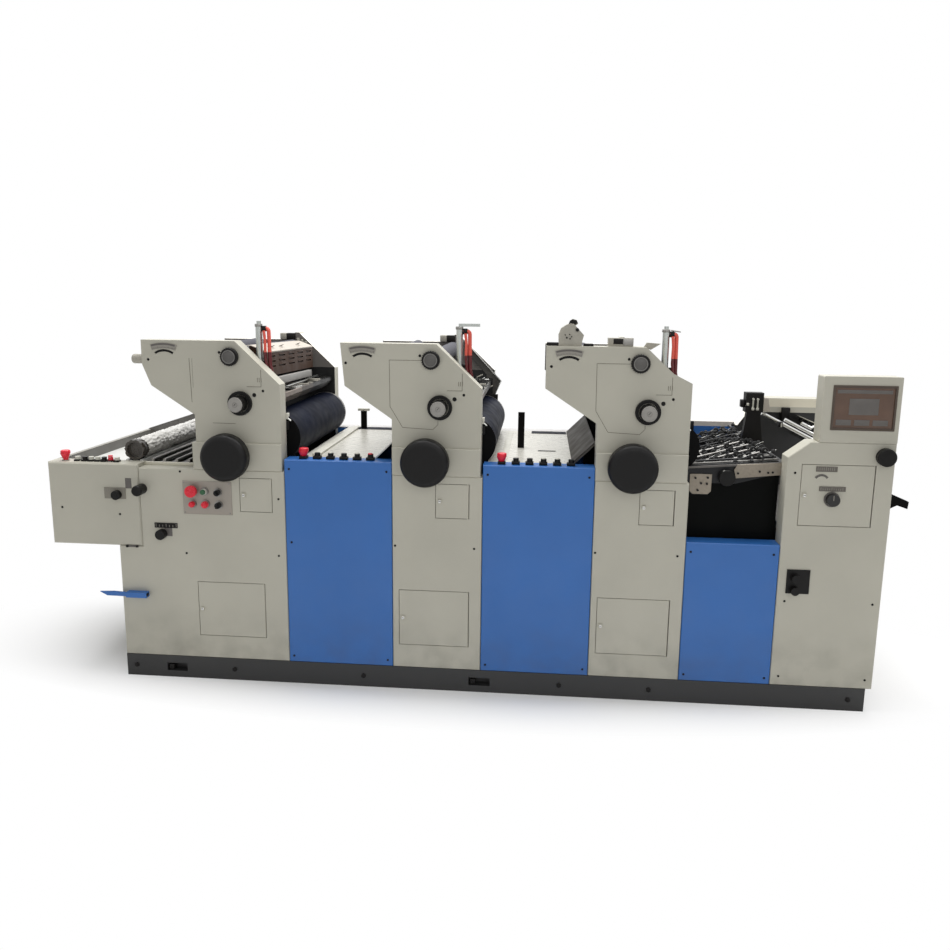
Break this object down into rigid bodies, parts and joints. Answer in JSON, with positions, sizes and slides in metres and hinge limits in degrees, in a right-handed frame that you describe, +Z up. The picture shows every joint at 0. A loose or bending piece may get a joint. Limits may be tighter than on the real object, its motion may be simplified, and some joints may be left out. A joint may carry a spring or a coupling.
{
  "type": "offset printing press",
  "caption": "Multi-unit sheet-fed offset press with winged printing towers, blue lower covers, overhanging delivery, feed board, feeder console and touch screen.",
  "frame": {"origin": "bottom centre of the whole press's box, on the floor", "axes": "+X along the press from the delivery to the feeder, +Y from the operator side to the drive side, +Z up"},
  "size_m": [3.607, 1.085, 1.604],
  "materials": {
    "side_paint": "satin light warm grey",
    "blue_paint": "satin blue",
    "base_black": "matt black",
    "black_plastic": "black",
    "grey_plastic": "grey",
    "plate_black": "gloss dark blue-black",
    "deck_grey": "pale grey",
    "film": "crumpled silver-white film",
    "panel_brown": "brown-grey",
    "red_plastic": "red",
    "pale_plastic": "pale, one green",
    "black_metal": "satin black",
    "roller_rubber": "dark grey rubber",
    "guard_brown": "brown, louvred",
    "tray_steel": "brushed",
    "table_steel": "polished sheet",
    "board_steel": "dark sheet",
    "rod_chrome": "bright",
    "wheel_rubber": "black rubber",
    "screen": "dark screen",
    "cylinder_aluminium": "satin",
    "red_hose": "red hose"
  },
  "bodies": {
    "press": {"base_plinth": "base_black", "near_side_1": "side_paint", "far_side_1": "side_paint", "near_side_2": "side_paint", "far_side_2": "side_paint", "near_side_3": "side_paint", "far_side_3": "side_paint", "near_covers": "blue_paint", "far_covers": "blue_paint", "delivery_boxes": "side_paint", "delivery_deck": "deck_grey", "wrapped_roll": "film", "end_panels": "side_paint", "control_panel": "panel_brown", "red_buttons": "red_plastic", "black_buttons": "black_plastic", "pale_buttons": "pale_plastic", "adjusters": "black_metal", "ink_rollers": "roller_rubber", "louvre_guard": "guard_brown", "trays": "tray_steel", "tables": "table_steel", "feed_board": "board_steel", "feed_rods": "rod_chrome", "feed_wheels": "wheel_rubber", "near_console": "side_paint", "far_console": "side_paint", "pile_board": "board_steel", "feeder_head": "black_metal", "touch_box": "side_paint", "touch_screen": "screen", "air_cylinders": "cylinder_aluminium", "air_hoses": "red_hose", "top_fittings": "grey_plastic", "black_brackets": "black_metal", "pile_bracket": "blue_paint"},
    "cylinder_1": {"plate_cylinder_1": "plate_black"},
    "cylinder_2": {"plate_cylinder_2": "plate_black"},
    "cylinder_3": {"plate_cylinder_3": "plate_black"},
    "wheel_1": {"handwheel_1": "black_plastic"},
    "wheel_2": {"handwheel_2": "black_plastic"},
    "wheel_3": {"handwheel_3": "black_plastic"},
    "lower_door_1": {"lower_hatch_1": "side_paint"},
    "upper_door_1": {"upper_hatch_1": "side_paint"},
    "lock_1": {"lock_knob_1": "black_plastic"},
    "dial_1": {"dial_knob_1": "grey_plastic"},
    "lower_door_2": {"lower_hatch_2": "side_paint"},
    "upper_door_2": {"upper_hatch_2": "side_paint"},
    "lock_2": {"lock_knob_2": "black_plastic"},
    "dial_2": {"dial_knob_2": "grey_plastic"},
    "lower_door_3": {"lower_hatch_3": "side_paint"},
    "upper_door_3": {"upper_hatch_3": "side_paint"},
    "lock_3": {"lock_knob_3": "black_plastic"},
    "dial_3": {"dial_knob_3": "grey_plastic"},
    "feeder_door": {"console_door": "side_paint"},
    "slide": {"slide_knob": "black_plastic"},
    "stop": {"stop_knob": "black_plastic"},
    "tower": {"tower_knob": "black_plastic"},
    "console": {"console_knob": "black_plastic"},
    "side": {"side_knob": "black_plastic"}
  },
  "joints": [
    {"name": "cylinder_spin_1", "type": "hinge", "parent": "press", "child": "cylinder_1", "pos_m": [-0.8135, 0.0425, 1.085], "axis": [0, 1, 0], "continuous": true},
    {"name": "cylinder_spin_2", "type": "hinge", "parent": "press", "child": "cylinder_2", "pos_m": [0.0265, 0.0425, 1.085], "axis": [0, 1, 0], "continuous": true},
    {"name": "cylinder_spin_3", "type": "hinge", "parent": "press", "child": "cylinder_3", "pos_m": [0.8665, 0.0425, 1.085], "axis": [0, 1, 0], "continuous": true},
    {"name": "wheel_spin_1", "type": "hinge", "parent": "press", "child": "wheel_1", "pos_m": [-0.9915, 0.0425, 1.017], "axis": [0, 1, 0], "continuous": true},
    {"name": "wheel_spin_2", "type": "hinge", "parent": "press", "child": "wheel_2", "pos_m": [-0.1515, 0.0425, 1.017], "axis": [0, 1, 0], "continuous": true},
    {"name": "wheel_spin_3", "type": "hinge", "parent": "press", "child": "wheel_3", "pos_m": [0.6885, 0.0425, 1.017], "axis": [0, 1, 0], "continuous": true},
    {"name": "lower_door_hinge_1", "type": "hinge", "parent": "press", "child": "lower_door_1", "pos_m": [-0.863, -0.4525, 0.3285], "axis": [0, 0, 1], "range_deg": [0, 110]},
    {"name": "upper_door_hinge_1", "type": "hinge", "parent": "press", "child": "upper_door_1", "pos_m": [-0.818, -0.4525, 0.8465], "axis": [0, 0, 1], "range_deg": [0, 110]},
    {"name": "lock_turn_1", "type": "hinge", "parent": "press", "child": "lock_1", "pos_m": [-0.9735, -0.4575, 1.432], "axis": [0, 1, 0], "range_deg": [-90, 90]},
    {"name": "dial_turn_1", "type": "hinge", "parent": "press", "child": "dial_1", "pos_m": [-0.9365, -0.4575, 1.239], "axis": [0, 1, 0], "range_deg": [-150, 150]},
    {"name": "lower_door_hinge_2", "type": "hinge", "parent": "press", "child": "lower_door_2", "pos_m": [0.025, -0.4525, 0.3285], "axis": [0, 0, 1], "range_deg": [0, 110]},
    {"name": "upper_door_hinge_2", "type": "hinge", "parent": "press", "child": "upper_door_2", "pos_m": [0.022, -0.4525, 0.8465], "axis": [0, 0, 1], "range_deg": [0, 110]},
    {"name": "lock_turn_2", "type": "hinge", "parent": "press", "child": "lock_2", "pos_m": [-0.1335, -0.4575, 1.432], "axis": [0, 1, 0], "range_deg": [-90, 90]},
    {"name": "dial_turn_2", "type": "hinge", "parent": "press", "child": "dial_2", "pos_m": [-0.0965, -0.4575, 1.239], "axis": [0, 1, 0], "range_deg": [-150, 150]},
    {"name": "lower_door_hinge_3", "type": "hinge", "parent": "press", "child": "lower_door_3", "pos_m": [0.865, -0.4525, 0.3285], "axis": [0, 0, 1], "range_deg": [0, 110]},
    {"name": "upper_door_hinge_3", "type": "hinge", "parent": "press", "child": "upper_door_3", "pos_m": [0.862, -0.4525, 0.8465], "axis": [0, 0, 1], "range_deg": [0, 110]},
    {"name": "lock_turn_3", "type": "hinge", "parent": "press", "child": "lock_3", "pos_m": [0.7065, -0.4575, 1.432], "axis": [0, 1, 0], "range_deg": [-90, 90]},
    {"name": "dial_turn_3", "type": "hinge", "parent": "press", "child": "dial_3", "pos_m": [0.7435, -0.4575, 1.239], "axis": [0, 1, 0], "range_deg": [-150, 150]},
    {"name": "feeder_door_hinge", "type": "hinge", "parent": "press", "child": "feeder_door", "pos_m": [1.637, -0.4525, 0.919], "axis": [0, 0, 1], "range_deg": [0, 110]},
    {"name": "slide_turn", "type": "hinge", "parent": "press", "child": "slide", "pos_m": [-1.4945, -0.4575, 0.832], "axis": [0, 1, 0], "range_deg": [-180, 180]},
    {"name": "stop_turn", "type": "hinge", "parent": "press", "child": "stop", "pos_m": [-1.3835, -0.4575, 0.861], "axis": [0, 1, 0], "range_deg": [-180, 180]},
    {"name": "tower_turn", "type": "hinge", "parent": "press", "child": "tower", "pos_m": [-1.3035, -0.4575, 0.664], "axis": [0, 1, 0], "range_deg": [-180, 180]},
    {"name": "console_turn", "type": "hinge", "parent": "press", "child": "console", "pos_m": [1.6725, -0.4575, 1.083], "axis": [0, 1, 0], "range_deg": [-180, 180]},
    {"name": "side_turn", "type": "hinge", "parent": "press", "child": "side", "pos_m": [1.0835, -0.3775, 0.967], "axis": [0, 1, 0], "range_deg": [-180, 180]}
  ],
  "couplings": [
    {"joint": "wheel_spin_1", "follows": "cylinder_spin_1", "ratio": -1},
    {"joint": "wheel_spin_2", "follows": "cylinder_spin_1", "ratio": -1},
    {"joint": "cylinder_spin_2", "follows": "cylinder_spin_1", "ratio": 1},
    {"joint": "wheel_spin_3", "follows": "cylinder_spin_1", "ratio": -1},
    {"joint": "cylinder_spin_3", "follows": "cylinder_spin_1", "ratio": 1}
  ]
}
